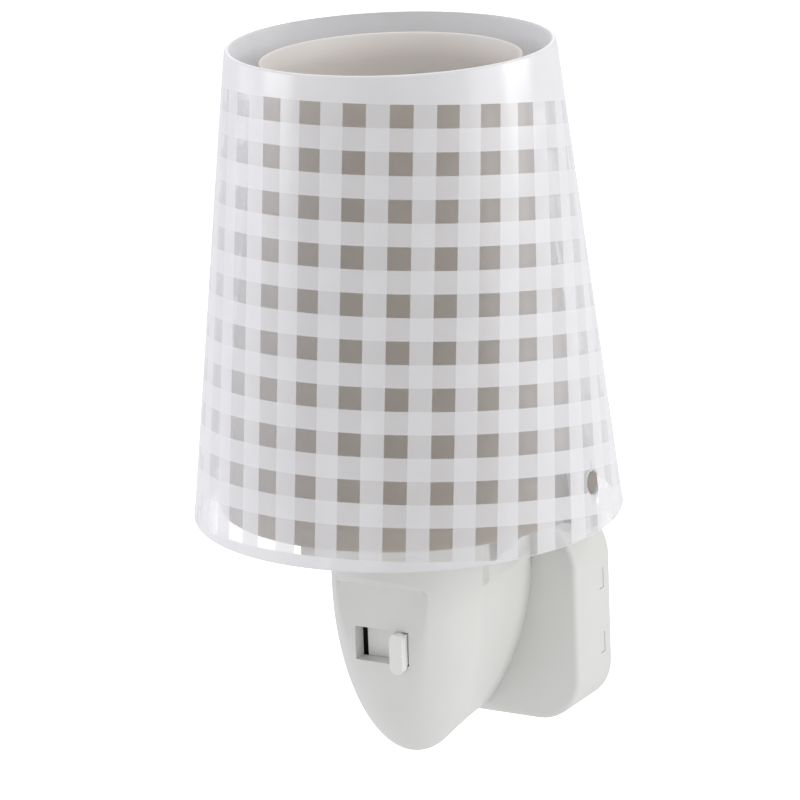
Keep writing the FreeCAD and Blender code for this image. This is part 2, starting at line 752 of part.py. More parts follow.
# Lamp holder: a skirt, a top deck, a tube round the screw shell and a floor on the body's shelf.
def make_holder():
    tube = "holder_bore + holder_tube"
    well = turned("holder_turned", [
        ("0", "0"),
        (tube, "0"),
        (tube, "holder_height - holder_deck"),
        ("holder_radius - holder_skirt", "holder_height - holder_deck"),
        ("holder_radius - holder_skirt", "0"),
        ("holder_radius", "0"),
        ("holder_radius", "holder_height"),
        ("holder_bore", "holder_height"),
        ("holder_bore", "holder_floor"),
        ("0", "holder_floor"),
    ], z=shelf_top)
    cuts = [cylinder("holder_screw_hole_%d" % (i + 1), "holder_screw_radius + running_gap", "holder_floor + 2",
                     x, "-shade_axis", shelf_top + " - 1")
            for i, (x, level) in enumerate(holder_screw_places())]
    cuts.append(box("centre_tag_slot", ("-tag_width / 2 - running_gap", "tag_width / 2 + running_gap"),
                    ("-shade_axis + leaf_reach - running_gap", "-shade_axis + leaf_reach + leaf_thick + running_gap"),
                    (shelf_top + " - 1", well_floor + " + 1")))
    cuts.append(box("shell_tag_slot", ("-tag_width / 2 - running_gap", "tag_width / 2 + running_gap"),
                    ("-shade_axis + shell_tag_seat - running_gap",
                     "-shade_axis + shell_tag_seat + leaf_thick + running_gap"),
                    (shelf_top + " - 1", well_floor + " + 1")))
    node(cut("holder_body", well, fuse("holder_cuts", cuts)), "holder_body")
    screws = []
    for i, (x, level) in enumerate(holder_screw_places()):
        screws.append(turned("holder_screw_%d" % (i + 1), [
            ("0", "-holder_screw_length"),
            ("holder_screw_radius * 0.4", "-holder_screw_length"),
            ("holder_screw_radius", "-holder_screw_length + holder_screw_radius"),
            ("holder_screw_radius", "moulded_gap"),
            ("holder_screw_head_radius", "moulded_gap"),
            ("holder_screw_head_radius", "holder_screw_head * 0.6"),
            ("holder_screw_head_radius * 0.6", "holder_screw_head"),
            ("0", "holder_screw_head"),
        ], x=x, z=level))
    node(group("holder_screws", screws), "holder_screws")


def ripple(crest, root, base, turns):
    # zigzag side of a rolled thread, as (radius, height) pairs from the bottom up
    points = []
    for i in range(turns):
        points.append((root, "%s + %d * thread_pitch" % (base, i)))
        points.append((crest, "%s + %.1f * thread_pitch" % (base, i + 0.5)))
    points.append((root, "%s + %d * thread_pitch" % (base, turns)))
    return points


def make_holder_contacts():
    turns = int((value("shell_length") - 1) // value("thread_pitch"))
    inner_crest = "cap_radius + running_gap"
    inner_root = "cap_radius + running_gap + thread_depth"
    inside = ripple(inner_crest, inner_root, "0.5", turns)
    outside = ripple(inner_crest + " + shell_thick", inner_root + " + shell_thick", "0.5", turns)
    section = [(inner_root, "0")] + inside + [(inner_root, "shell_length")]
    section += [(inner_root + " + shell_thick", "shell_length")] + outside[::-1]
    section += [(inner_root + " + shell_thick", "0")]
    shell = turned("holder_shell_turned", section, z=well_floor)
    tag = box("shell_tag", ("-tag_width / 2", "tag_width / 2"),
              ("-shade_axis + shell_tag_seat", "-shade_axis + shell_tag_seat + leaf_thick"),
              ("lintel_height - tag_drop", well_floor + " + 1"))
    node(fuse("holder_screw_shell", [shell, tag]), "holder_screw_shell")
    leaf = box("contact_leaf", ("-leaf_width / 2", "leaf_width / 2"),
               ("-shade_axis - leaf_reach", "-shade_axis + leaf_reach + leaf_thick"),
               (well_floor + " + leaf_rise", leaf_top))
    foot = box("contact_foot", ("-leaf_width / 2", "leaf_width / 2"),
               ("-shade_axis - leaf_reach", "-shade_axis - leaf_reach + leaf_thick"),
               (well_floor, well_floor + " + leaf_rise + leaf_thick"))
    leg = box("contact_leg", ("-tag_width / 2", "tag_width / 2"),
              ("-shade_axis + leaf_reach", "-shade_axis + leaf_reach + leaf_thick"),
              ("lintel_height - tag_drop", leaf_top))
    node(fuse("holder_centre_contact", [leaf, foot, leg]), "holder_centre_contact")


# Bulb: tip contact, insulator, rolled screw shell, plastic neck, board with LEDs, frosted globe.
def make_bulb():
    tip_base = leaf_top + " + tip_gap"
    cap_base = tip_base + " + tip_height + cap_insulator"
    cap_top = cap_base + " + cap_length"
    globe_base = cap_top + " + bulb_neck_height"
    node(turned("bulb_tip_contact", [
        ("0", "0"),
        ("tip_radius * 0.6", "0"),
        ("tip_radius", "tip_height * 0.5"),
        ("tip_radius", "tip_height"),
        ("0", "tip_height"),
    ], z=tip_base), "bulb_tip_contact")
    node(turned("bulb_insulator", [
        ("0", "0"),
        ("tip_radius + 0.6", "0"),
        ("cap_radius - thread_depth - cap_thick - moulded_gap", "cap_insulator"),
        ("cap_radius - thread_depth - cap_thick - moulded_gap", "cap_insulator + 1"),
        ("0", "cap_insulator + 1"),
    ], z=tip_base + " + tip_height"), "bulb_insulator")
    turns = int((value("cap_length") - 1) // value("thread_pitch"))
    root = "cap_radius - thread_depth"
    outside = ripple("cap_radius", root, "0.5", turns)
    inside = ripple("cap_radius - cap_thick", root + " - cap_thick", "0.5", turns)
    section = [(root, "0")] + outside + [(root, "cap_length")]
    section += [(root + " - cap_thick", "cap_length")] + inside[::-1] + [(root + " - cap_thick", "0")]
    node(turned("bulb_screw_shell", section, z=cap_base), "bulb_screw_shell")
    plug = "cap_radius - thread_depth - cap_thick - moulded_gap"
    node(turned("bulb_neck", [
        (plug + " - bulb_neck_wall", "-cap_length / 3"),
        (plug, "-cap_length / 3"),
        (plug, "moulded_gap"),
        ("cap_radius + 0.3", "moulded_gap"),
        ("cap_radius + 0.6", "bulb_neck_height * 0.2"),
        ("bulb_radius * 0.86", "bulb_neck_height * 0.6"),
        ("bulb_radius", "bulb_neck_height"),
        ("bulb_radius - bulb_neck_wall", "bulb_neck_height"),
        ("bulb_radius * 0.86 - bulb_neck_wall", "bulb_neck_height * 0.6"),
        (plug + " - bulb_neck_wall", "bulb_neck_height * 0.2"),
    ], z=cap_top), "bulb_neck")
    node(make_globe(globe_base), "bulb_globe")
    board = turned("bulb_circuit_board", [
        ("0", "0"),
        ("bulb_radius - globe_wall - running_gap", "0"),
        ("bulb_radius - globe_wall - running_gap", "board_thick"),
        ("0", "board_thick"),
    ], z=globe_base)
    node(board, "bulb_circuit_board")
    leds = []
    count = 5
    for i in range(count):
        angle = 360 / count * i
        led = new_body("bulb_led_%d" % (i + 1), "led_circle * cos(%g deg)" % angle,
                       "-shade_axis + led_circle * sin(%g deg)" % angle, globe_base + " + board_thick")
        chip = polygon(led, "led_outline_%d" % (i + 1), "XY_Plane", [
            ("-led_side / 2", "-led_side / 2"), ("led_side / 2", "-led_side / 2"),
            ("led_side / 2", "led_side / 2"), ("-led_side / 2", "led_side / 2")])
        pad(led, chip, "led_chip_%d" % (i + 1), "led_thick")
        leds.append(led)
    node(group("bulb_leds", leds), "bulb_leds")


def make_globe(base):
    # a straight glass skirt with a round top, hollow, open below
    piece = new_body("bulb_globe", y="-shade_axis", z=base)
    sketch = new_sketch(piece, "globe_section", "XZ_Plane")
    radius = value("bulb_radius")
    inner = value("bulb_radius - globe_wall")
    shoulder = value("globe_height - bulb_radius")
    low = value("moulded_gap")
    centre = FreeCAD.Vector(0, shoulder, 0)
    up = FreeCAD.Vector(0, 0, 1)
    corners = [FreeCAD.Vector(x, y, 0) for x, y in (
        (inner, low), (radius, low), (radius, shoulder), (0, shoulder + radius), (0, shoulder + inner),
        (inner, shoulder))]
    sketch.addGeometry(Part.LineSegment(corners[0], corners[1]), False)
    sketch.addGeometry(Part.LineSegment(corners[1], corners[2]), False)
    sketch.addGeometry(Part.ArcOfCircle(Part.Circle(centre, up, radius), 0, math.pi / 2), False)
    sketch.addGeometry(Part.LineSegment(corners[3], corners[4]), False)
    sketch.addGeometry(Part.ArcOfCircle(Part.Circle(centre, up, inner), 0, math.pi / 2), False)
    sketch.addGeometry(Part.LineSegment(corners[5], corners[0]), False)
    joins = ((0, 2, 1, 1), (1, 2, 2, 1), (2, 2, 3, 1), (3, 2, 4, 2), (4, 1, 5, 1), (5, 2, 0, 1))
    for first, end, second, start in joins:
        sketch.addConstraint(Sketcher.Constraint("Coincident", first, end, second, start))
    sketch.addConstraint(Sketcher.Constraint("Coincident", 2, 3, 4, 3))
    pin_point(sketch, 0, 1, "bulb_radius - globe_wall", "moulded_gap")
    pin_point(sketch, 0, 2, "bulb_radius", "moulded_gap")
    pin_point(sketch, 1, 2, "bulb_radius", "globe_height - bulb_radius")
    pin_point(sketch, 5, 1, "bulb_radius - globe_wall", "globe_height - bulb_radius")
    pin_point(sketch, 2, 3, "0", "globe_height - bulb_radius")
    for arc in (2, 4):
        sketch.addConstraint(Sketcher.Constraint("PointOnObject", arc, 2, -2))
    revolve(piece, sketch, "globe_turn")
    return piece


# Switch: a slider plate behind the window with a knob bar through it, in a case on two ears.
def make_switch():
    plate_y = (facet_back + " + slider_gap", facet_back + " + slider_gap + slider_thick")
    plate = box("slider_plate", ("slider_left", "slider_left + slider_length"), plate_y,
                ("window_base - slider_overlap", window_top + " + slider_overlap"))
    neck = box("knob_neck", ("knob_left", "knob_left + knob_width"), (facet_plane + " - slider_gap - 0.5", plate_y[1]),
               ("window_base + loose_gap", window_top + " - loose_gap"))
    stem = box("slider_stem", ("slider_left + slider_length / 2 - stem_width / 2",
                               "slider_left + slider_length / 2 + stem_width / 2"),
               (plate_y[0], plate_y[1] + " + stem_length"),
               (window_middle + " - stem_height / 2", window_middle + " + stem_height / 2"))
    cap_base = "window_base - knob_below"
    cap_top = window_top + " + knob_above"
    cap_y = facet_plane + " - knob_proud"
    round_radius = "knob_width / 2"
    middle_x = "knob_left + knob_width / 2"
    cap_length = "knob_proud - slider_gap"
    bar = box("knob_bar", ("knob_left", "knob_left + knob_width"), (cap_y, cap_y + " + " + cap_length),
              (cap_base + " + " + round_radius, cap_top + " - " + round_radius))
    ends = [cylinder("knob_end_" + name, round_radius, cap_length, middle_x, cap_y, level, "y")
            for name, level in (("low", cap_base + " + " + round_radius), ("high", cap_top + " - " + round_radius))]
    node(fuse("switch_knob", [plate, neck, stem, bar] + ends), "switch_knob")

    case_front = plate_y[1] + " + slider_gap"
    case_rear = case_front + " + case_depth"
    case_z = ("window_base - case_margin", window_top + " + case_margin")
    block = box("case_block", ("-case_half_width", "case_half_width"), (case_front, case_rear), case_z)
    hollow = box("case_hollow", ("-case_half_width + case_wall", "case_half_width - case_wall"),
                 (case_front + " + case_wall", case_rear + " - case_wall"),
                 (case_z[0] + " + case_wall", case_z[1] + " - case_wall"))
    stem_x = "slider_left + slider_length / 2"
    slot = box("case_stem_slot", (stem_x + " - switch_travel - stem_width / 2 - loose_gap",
                                  stem_x + " + stem_width / 2 + loose_gap"),
               (case_front + " - 1", case_front + " + case_wall + 1"),
               (window_middle + " - stem_height / 2 - loose_gap", window_middle + " + stem_height / 2 + loose_gap"))
    tail_slots = [box("case_tail_slot_" + name, (middle + " - contact_width / 2 - running_gap",
                                                 middle + " + contact_width / 2 + running_gap"),
                      (case_rear + " - case_wall - 1", case_rear + " + 1"),
                      (window_middle + " - contact_thick / 2 - running_gap",
                       window_middle + " + contact_thick / 2 + running_gap"))
                  for name, middle in (("left", "-contact_side"), ("right", "contact_side"))]
    ears = []
    screws = []
    holes = []
    ear_y = (facet_back, facet_back + " + ear_thick")
    for i, (x, z) in enumerate(switch_screw_places()):
        near = case_z[1] if i == 0 else case_z[0]
        far = near + (" + ear_height" if i == 0 else " - ear_height")
        ears.append(box("case_ear_%d" % (i + 1), ("-ear_half_width", "ear_half_width"), ear_y,
                        (near, far) if i == 0 else (far, near)))
        ears.append(box("case_ear_root_%d" % (i + 1), ("-ear_half_width", "ear_half_width"),
                        (ear_y[0], case_front + " + case_wall"),
                        (near, near + " + ear_thick") if i == 0 else (near + " - ear_thick", near)))
        holes.append(cylinder("ear_hole_%d" % (i + 1), "switch_screw_radius + running_gap", "ear_thick + 2",
                              x, facet_back + " - 1", z, "y"))
        screws.append(turned_along_y("switch_screw_%d" % (i + 1), [
            ("0", "-switch_screw_length"),
            ("switch_screw_radius * 0.4", "-switch_screw_length"),
            ("switch_screw_radius", "-switch_screw_length + switch_screw_radius"),
            ("switch_screw_radius", "moulded_gap"),
            ("switch_screw_head_radius", "moulded_gap"),
            ("switch_screw_head_radius", "switch_screw_head * 0.6"),
            ("switch_screw_head_radius * 0.6", "switch_screw_head"),
            ("0", "switch_screw_head"),
        ], x=x, y=ear_y[1], z=z))
    body = fuse("case_solid", [block] + ears)
    node(cut("switch_case", body, fuse("case_cuts", [hollow, slot] + tail_slots + holes)), "switch_case")
    node(group("switch_screws", screws), "switch_screws")

    inner_rear = case_rear + " - case_wall"
    for name, middle in (("left", "-contact_side"), ("right", "contact_side")):
        pad_plate = box("contact_pad_" + name, (middle + " - contact_width / 2", middle + " + contact_width / 2"),
                        (inner_rear + " - contact_thick", inner_rear),
                        (window_middle + " - contact_height / 2", window_middle + " + contact_height / 2"))
        tail = box("contact_tail_" + name, (middle + " - contact_width / 2", middle + " + contact_width / 2"),
                   (inner_rear + " - contact_thick", case_rear + " + contact_tail"),
                   (window_middle + " - contact_thick / 2", window_middle + " + contact_thick / 2"))
        node(fuse("switch_terminal_" + name, [pad_plate, tail]), "switch_terminal_" + name)
    stem_end = plate_y[1] + " + stem_length"
    leaf_y = (inner_rear + " - contact_thick - running_gap - bridge_thick", inner_rear + " - contact_thick - running_gap")
    strip = box("bridge_strip", (stem_x + " - bridge_length / 2", stem_x + " + bridge_length / 2"), leaf_y,
                (window_middle + " - bridge_height / 2", window_middle + " + bridge_height / 2"))
    post = box("bridge_post", (stem_x + " - stem_width / 3", stem_x + " + stem_width / 3"), (stem_end, leaf_y[1]),
               (window_middle + " - bridge_height / 2", window_middle + " + bridge_height / 2"))
    node(fuse("switch_bridge", [strip, post]), "switch_bridge")


# Wires: straight runs joined by arcs, whole from end to end.
def bend_path(points):
    # each corner becomes a tangent arc, as large as the shorter run beside it allows
    vectors = [FreeCAD.Vector(*point) for point in points]
    edges = []
    start = vectors[0]
    radii = []
    for i in range(1, len(vectors) - 1):
        before = (vectors[i - 1] - vectors[i])
        after = (vectors[i + 1] - vectors[i])
        turn = math.pi - before.getAngle(after)
        radius = 0.45 * min(before.Length, after.Length) / math.tan(turn / 2)
        radii.append(radius)
        back = radius * math.tan(turn / 2)
        before.normalize()
        after.normalize()
        enter = vectors[i] + before * back
        leave = vectors[i] + after * back
        inward = before + after
        inward.normalize()
        centre = vectors[i] + inward * (radius / math.cos(turn / 2))
        crown = centre - inward * radius
        edges.append(Part.LineSegment(start, enter).toShape())
        edges.append(Part.Arc(enter, crown, leave).toShape())
        start = leave
    edges.append(Part.LineSegment(start, vectors[-1]).toShape())
    return Part.Wire(edges), radii


def make_wire(name, points):
    radius = value("wire_radius")
    places = [[value(part) for part in point] for point in points]
    path, radii = bend_path(places)
    first = FreeCAD.Vector(*places[0])
    direction = FreeCAD.Vector(*places[1]) - first
    disc = Part.Wire(Part.Circle(first, direction, radius).toShape())
    tube = path.makePipeShell([disc], True, False)
    expected = math.pi * radius ** 2 * path.Length
    print("%s: length %.1f, radii %s, volume ratio %.4f" %
          (name, path.Length, " ".join("%.1f" % item for item in radii), tube.Volume / expected))
    node(coded(name, tube), name)


def make_wires():
    case_rear = facet_back + " + 2 * slider_gap + slider_thick + case_depth"
    tail_end = case_rear + " + contact_tail"
    leaf_tag = "-shade_axis + leaf_reach + leaf_thick / 2"
    shell_tag = "-shade_axis + shell_tag_seat + leaf_thick / 2"
    tag_end = "lintel_height - tag_drop"
    make_wire("wire_pin_to_switch", [
        ("-pin_spacing / 2", pin_end, "0"),
        ("-pin_spacing / 2", pin_end + " - 2.9", "0"),
        ("-3", inside_of_front + " + 1", "2"),
        ("-3", front_of_box + " - 8", "4"),
        ("-contact_side", tail_end + " + 6", window_middle),
        ("-contact_side", tail_end, window_middle),
    ])
    make_wire("wire_pin_to_holder", [
        ("pin_spacing / 2", pin_end, "0"),
        ("pin_spacing / 2", pin_end + " - 2.9", "0"),
        ("3", inside_of_front + " + 1", "5"),
        ("2", front_of_box + " - 8", "8"),
        ("0", shell_tag + " + 1", tag_end + " - 6"),
        ("0", shell_tag, tag_end),
    ])
    make_wire("wire_switch_to_holder", [
        ("contact_side", tail_end, window_middle),
        ("contact_side", tail_end + " + 3.5", window_middle),
        ("1.2", tail_end + " + 2", window_middle + " + 3.7"),
        ("0", leaf_tag, tag_end + " - 2.8"),
        ("0", leaf_tag, tag_end),
    ])


def check_and_write():
    doc.recompute()
    for item in doc.Objects:
        if "Invalid" in item.State or "Error" in item.State:
            raise ValueError("failed: " + item.Label)
    for piece in nodes:
        if piece.Shape.isNull() or not piece.Shape.isValid() or not piece.Shape.Solids:
            raise ValueError("bad shape: " + piece.Label)
    os.makedirs("parts", exist_ok=True)
    for piece in nodes:
        piece.Shape.exportStep("parts/%s.step" % piece.Label)
        bound = piece.Shape.BoundBox
        print("%-24s solids %d  volume %9.2f  x %.1f %.1f  y %.1f %.1f  z %.1f %.1f" % (
            piece.Label, len(piece.Shape.Solids), piece.Shape.Volume,
            bound.XMin, bound.XMax, bound.YMin, bound.YMax, bound.ZMin, bound.ZMax))
    print(len(nodes), "pieces written")


make_outer_shade()
make_liner()
make_carrier()
make_lamp_body()
make_housing_front()
make_housing_rear()
make_pins()
make_body_screws()
make_holder()
make_holder_contacts()
make_bulb()
make_switch()
make_wires()
check_and_write()
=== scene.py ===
import bpy
import bmesh
import math
from mathutils import Matrix, Vector


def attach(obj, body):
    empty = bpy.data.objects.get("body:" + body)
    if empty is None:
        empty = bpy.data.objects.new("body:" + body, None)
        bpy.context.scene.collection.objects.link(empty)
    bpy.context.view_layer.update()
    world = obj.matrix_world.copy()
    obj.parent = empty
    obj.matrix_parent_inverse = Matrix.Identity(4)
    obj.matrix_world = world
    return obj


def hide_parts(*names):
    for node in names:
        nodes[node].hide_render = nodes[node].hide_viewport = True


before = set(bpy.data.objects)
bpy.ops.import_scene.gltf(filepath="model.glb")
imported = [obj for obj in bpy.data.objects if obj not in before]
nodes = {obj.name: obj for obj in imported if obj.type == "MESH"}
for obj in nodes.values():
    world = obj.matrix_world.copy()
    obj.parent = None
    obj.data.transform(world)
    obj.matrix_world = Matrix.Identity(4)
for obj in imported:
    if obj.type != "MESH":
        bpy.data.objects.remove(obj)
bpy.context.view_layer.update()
scene = bpy.context.scene
print("frame loaded:", len(nodes), "nodes")

mm = 0.001
axisPoint = Vector((0, -45 * mm, 0))  # the shade, the holder and the bulb stand on this line


# Small helpers for meshes

def newMesh(name, verts, faces, smooth=True):
    mesh = bpy.data.meshes.new(name)
    mesh.from_pydata([tuple(v) for v in verts], [], faces)
    mesh.validate()
    piece = bpy.data.objects.new(name, mesh)
    scene.collection.objects.link(piece)
    for poly in mesh.polygons:
        poly.use_smooth = smooth
    return piece


def lathe(name, profile, centre, turns):
    # spins a closed outline of (radius, height) points about the upright line through centre
    verts = []
    for i in range(turns):
        angle = 2 * math.pi * i / turns
        for radius, height in profile:
            verts.append((centre.x + radius * math.sin(angle), centre.y - radius * math.cos(angle),
                          centre.z + height))
    count = len(profile)
    faces = []
    for i in range(turns):
        beside = (i + 1) % turns
        for j in range(count):
            k = (j + 1) % count
            faces.append((i * count + j, beside * count + j, beside * count + k, i * count + k))
    piece = newMesh(name, verts, faces)
    fixNormals(piece)
    return piece


def fixNormals(piece):
    work = bmesh.new()
    work.from_mesh(piece.data)
    bmesh.ops.recalc_face_normals(work, faces=work.faces)
    work.to_mesh(piece.data)
    work.free()


def applyModifiers(piece):
    graph = bpy.context.evaluated_depsgraph_get()
    done = bpy.data.meshes.new_from_object(piece.evaluated_get(graph))
    piece.modifiers.clear()
    piece.data = done


def carve(piece, tool):
    step = piece.modifiers.new("carve", "BOOLEAN")
    step.object = tool
    step.operation = "DIFFERENCE"
    step.solver = "EXACT"
    applyModifiers(piece)
    bpy.data.objects.remove(tool)


def rod(name, start, end, radius, sides=48):
    way = Vector(end) - Vector(start)
    bpy.ops.mesh.primitive_cylinder_add(vertices=sides, radius=radius, depth=way.length)
    piece = bpy.context.object
    piece.name = name
    turn = way.to_track_quat("Z", "Y").to_matrix().to_4x4()
    piece.data.transform(Matrix.Translation((Vector(start) + Vector(end)) / 2) @ turn)
    piece.matrix_world = Matrix.Identity(4)
    return piece


def markInside(piece):
    # 1 on the faces that look at the bulb, 0 outside
    layer = piece.data.attributes.new("insideFace", "FLOAT", "FACE")
    for poly in piece.data.polygons:
        outward = Vector((poly.center.x - axisPoint.x, poly.center.y - axisPoint.y, 0))
        layer.data[poly.index].value = 1.0 if poly.normal.dot(outward) < 0 else 0.0


# Small helpers for materials

def newMaterial(name):
    material = bpy.data.materials.new(name)
    material.use_nodes = True
    tree = material.node_tree
    shader = tree.nodes["Principled BSDF"]
    return material, tree, shader


def addNode(tree, kind, **settings):
    item = tree.nodes.new(kind)
    for key, setting in settings.items():
        setattr(item, key, setting)
    return item


def mathNode(tree, operation, first, second=None, clamp=False):
    # each input is a number or another node's output
    item = addNode(tree, "ShaderNodeMath", operation=operation, use_clamp=clamp)
    for socket, given in zip(item.inputs, (first, second)):
        if given is None:
            continue
        if isinstance(given, (int, float)):
            socket.default_value = given
        else:
            tree.links.new(given, socket)
    return item.outputs[0]


def noise(tree, scale, detail):
    place = addNode(tree, "ShaderNodeTexCoord")
    cloud = addNode(tree, "ShaderNodeTexNoise")
    cloud.inputs["Scale"].default_value = scale
    cloud.inputs["Detail"].default_value = detail
    cloud.inputs["Roughness"].default_value = 0.55
    tree.links.new(place.outputs["Object"], cloud.inputs["Vector"])
    return cloud.outputs["Fac"]


def ramp(tree, factor, low, high, darkest, lightest):
    # maps factor between low and high onto two colours or greys
    item = addNode(tree, "ShaderNodeValToRGB")
    item.color_ramp.elements[0].position = low
    item.color_ramp.elements[1].position = high
    item.color_ramp.elements[0].color = (*darkest, 1)
    item.color_ramp.elements[1].color = (*lightest, 1)
    tree.links.new(factor, item.inputs["Fac"])
    return item.outputs["Color"]


def remap(tree, factor, low, high):
    item = addNode(tree, "ShaderNodeMapRange")
    item.inputs["To Min"].default_value = low
    item.inputs["To Max"].default_value = high
    tree.links.new(factor, item.inputs["Value"])
    return item.outputs["Result"]


def bumpFrom(tree, shader, height, strength, distance):
    item = addNode(tree, "ShaderNodeBump")
    item.inputs["Strength"].default_value = strength
    item.inputs["Distance"].default_value = distance
    tree.links.new(height, item.inputs["Height"])
    tree.links.new(item.outputs["Normal"], shader.inputs["Normal"])


def mouldedPlastic(name, colour, roughness, mottle=0.012, bump=0.25, coat=0.0):
    # injection moulded plastic: faint cloudiness, a fine spark-eroded grain and uneven gloss
    material, tree, shader = newMaterial(name)
    cloud = noise(tree, 55, 4)
    pale = tuple(min(1, c + mottle) for c in colour)
    deep = tuple(max(0, c - mottle) for c in colour)
    tree.links.new(ramp(tree, cloud, 0.3, 0.7, deep, pale), shader.inputs["Base Color"])
    fine = noise(tree, 2600, 2)
    tree.links.new(remap(tree, cloud, roughness - 0.04, roughness + 0.05), shader.inputs["Roughness"])
    bumpFrom(tree, shader, fine, bump, 0.00004)
    shader.inputs["Specular IOR Level"].default_value = 0.45
    if coat:
        shader.inputs["Coat Weight"].default_value = coat
        shader.inputs["Coat Roughness"].default_value = 0.08
    return material


def metal(name, colour, roughness, scratch=(1, 1, 1)):
    # plated or bare metal: fine streaks along the axis that scratch shortens
    material, tree, shader = newMaterial(name)
    place = addNode(tree, "ShaderNodeTexCoord")
    stretch = addNode(tree, "ShaderNodeMapping")
    stretch.inputs["Scale"].default_value = scratch
    tree.links.new(place.outputs["Object"], stretch.inputs["Vector"])
    cloud = addNode(tree, "ShaderNodeTexNoise")
    cloud.inputs["Scale"].default_value = 900
    cloud.inputs["Detail"].default_value = 4
    tree.links.new(stretch.outputs["Vector"], cloud.inputs["Vector"])
    pale = tuple(min(1, c * 1.06) for c in colour)
    deep = tuple(c * 0.9 for c in colour)
    streak = cloud.outputs["Fac"]
    tree.links.new(ramp(tree, streak, 0.35, 0.65, deep, pale), shader.inputs["Base Color"])
    tree.links.new(remap(tree, streak, roughness - 0.05, roughness + 0.08), shader.inputs["Roughness"])
    bumpFrom(tree, shader, streak, 0.15, 0.00003)
    shader.inputs["Metallic"].default_value = 1.0
    return material


def finish(piece, material):
    piece.data.materials.clear()
    piece.data.materials.append(material)


# Camera, at the photograph's own place and lens

cameraPlace = {
    "spot": (0.42897, -0.78799, 0.29625),
    "right": (0.870310, 0.490968, -0.038873),
    "up": (-0.100892, 0.254985, 0.961667),
    "lens": 201.28,
}


def addCamera(place):
    data = bpy.data.cameras.new("camera")
    data.lens = place["lens"]
    data.sensor_width = 36
    data.clip_start = 0.05
    data.clip_end = 20
    camera = bpy.data.objects.new("camera", data)
    scene.collection.objects.link(camera)
    right = Vector(place["right"]).normalized()
    back = right.cross(Vector(place["up"])).normalized()
    up = back.cross(right).normalized()
    turn = Matrix((right, up, back)).transposed().to_4x4()
    camera.matrix_world = Matrix.Translation(place["spot"]) @ turn
    scene.camera = camera


addCamera(cameraPlace)
print("camera placed")


# Outer shade: a clear satin cone printed with white gingham, its blank cut flat and rolled

shade = {
    "base": 32.0,
    "height": 94.7,
    "lowRadius": 43.0,
    "highRadius": 32.5,
    "wall": 1.2,
    "rimRound": 0.45,
    "repeat": 9.02,       # one light and one open stripe
    "columnShift": 1.07,  # from the front line to the middle of an open column
    "rowShift": 7.0,      # from the bottom edge up to the middle of the first open row
    "lowBand": 2.7,       # the print ends in a plain band at each rim
    "highBand": 90.4,
    "edgeCrispness": 9.0,
    "stripeInk": 0.74,    # share that one printed layer hides
    "bareFilm": 0.95,     # share that the clear film lets through, seen square on
    "sideGloss": 0.9,     # share of it that is lost where the film is seen flat
    "glossCurve": 1.3,
    "glow": 0.2,
    "nubHeight": 9.8,     # the two side holes and the clip's nubs in them
    "holeRadius": 2.4,
    "drillReach": 4,
    "rivetRadius": 2.2,
    "rivetBack": 0.8,     # the rivet head's flat back, as a share of its radius
    "rivetDome": 0.5,
    "rivetSeat": 0.25,
    "turns": 256,
    "bendSteps": 5,
    "wallSteps": 24,
}


# how much the radius shrinks for each unit of height
shadeDrop = (shade["lowRadius"] - shade["highRadius"]) / shade["height"]


def shadeRadius(level):
    # outer radius of the film at a height over its bottom edge
    return shade["lowRadius"] - shadeDrop * level


def roundedCorner(place):
    # steps through a quarter turn and asks place for the point at each sine and cosine
    turns = [math.pi / 2 * i / shade["bendSteps"] for i in range(shade["bendSteps"] + 1)]
    return [place(math.sin(turn), math.cos(turn)) for turn in turns]


def shadeProfile():
    # half section with rounded rims: up the outer wall and down the inner one
    low, high, wall = shade["lowRadius"], shade["highRadius"], shade["wall"]
    bend, tall, steps = shade["rimRound"], shade["height"], shade["wallSteps"]
    climb = tall - bend * 2
    points = roundedCorner(lambda sine, cosine: (low - wall + bend * (1 - cosine), bend * (1 - sine)))
    points += roundedCorner(lambda sine, cosine: (low - bend * (1 - sine), bend * (1 - cosine)))
    for i in range(1, steps):
        level = bend + climb * i / steps
        points.append((shadeRadius(level), level))
    inner = high - wall
    points += roundedCorner(lambda sine, cosine: (high - bend * (1 - cosine), tall - bend * (1 - sine)))
    points += roundedCorner(lambda sine, cosine: (inner + bend * (1 - sine), tall - bend * (1 - cosine)))
    for i in range(1, steps):
        level = tall - bend - climb * i / steps
        points.append((shadeRadius(level) - wall, level))
    return [(radius * mm, height * mm) for radius, height in points]


def unrolledMap(piece):
    # flat place of each corner on the unrolled blank, in millimetres, from the front line
    tip = shade["lowRadius"] / shadeDrop
    slant = math.sqrt(1 + shadeDrop * shadeDrop)
    share = shadeDrop / slant
    layer = piece.data.uv_layers.new(name="unrolled")
    for poly in piece.data.polygons:
        angles = []
        for corner in poly.loop_indices:
            place = piece.data.vertices[piece.data.loops[corner].vertex_index].co
            angles.append(math.atan2(place.x - axisPoint.x, -(place.y - axisPoint.y)))
        middle = angles[0]
        for corner, angle in zip(poly.loop_indices, angles):
            if angle - middle > math.pi:
                angle -= 2 * math.pi
            if angle - middle < -math.pi:
                angle += 2 * math.pi
            place = piece.data.vertices[piece.data.loops[corner].vertex_index].co
            level = place.z / mm - shade["base"]
            reach = (tip - level) * slant
            across = reach * math.sin(angle * share)
            along = tip * slant - reach * math.cos(angle * share)
            layer.data[corner].uv = (across, along)


def stripes(tree, coordinate, shift):
    # 1 on the printed stripes and 0 between them, with a slightly soft edge
    moved = mathNode(tree, "SUBTRACT", coordinate, shift)
    phase = mathNode(tree, "MULTIPLY", moved, 2 * math.pi / shade["repeat"])
    wave = mathNode(tree, "COSINE", phase)
    flipped = mathNode(tree, "MULTIPLY", wave, -shade["edgeCrispness"])
    return mathNode(tree, "ADD", flipped, 0.5, clamp=True)


